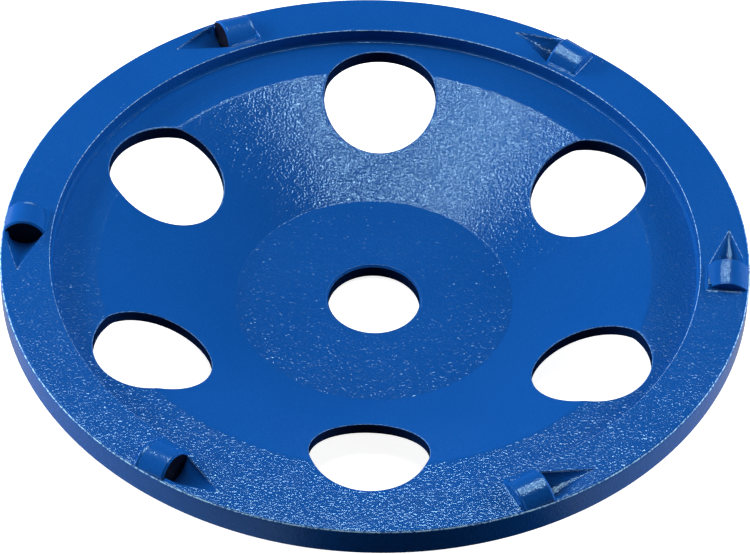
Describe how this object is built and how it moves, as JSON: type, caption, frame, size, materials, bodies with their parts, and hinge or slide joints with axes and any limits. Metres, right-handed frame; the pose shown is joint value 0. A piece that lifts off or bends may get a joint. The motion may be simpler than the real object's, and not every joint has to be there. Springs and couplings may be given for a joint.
{
  "type": "diamond cup wheel",
  "caption": "Dished steel grinding cup wheel with round windows, a raised rim and half-round diamond segments, for an angle grinder.",
  "frame": {"origin": "centre of the hub's back face, on the bore axis", "axes": "+Z along the bore axis towards the working side; +Y through the centre of a window"},
  "size_m": [0.18, 0.18, 0.0241],
  "materials": {
    "wheel_paint": "gloss",
    "segment_paint": "gloss"
  },
  "bodies": {
    "root": {"wheel_body": "wheel_paint", "segment_1": "segment_paint", "segment_2": "segment_paint", "segment_3": "segment_paint", "segment_4": "segment_paint", "segment_5": "segment_paint", "segment_6": "segment_paint"}
  },
  "joints": []
}
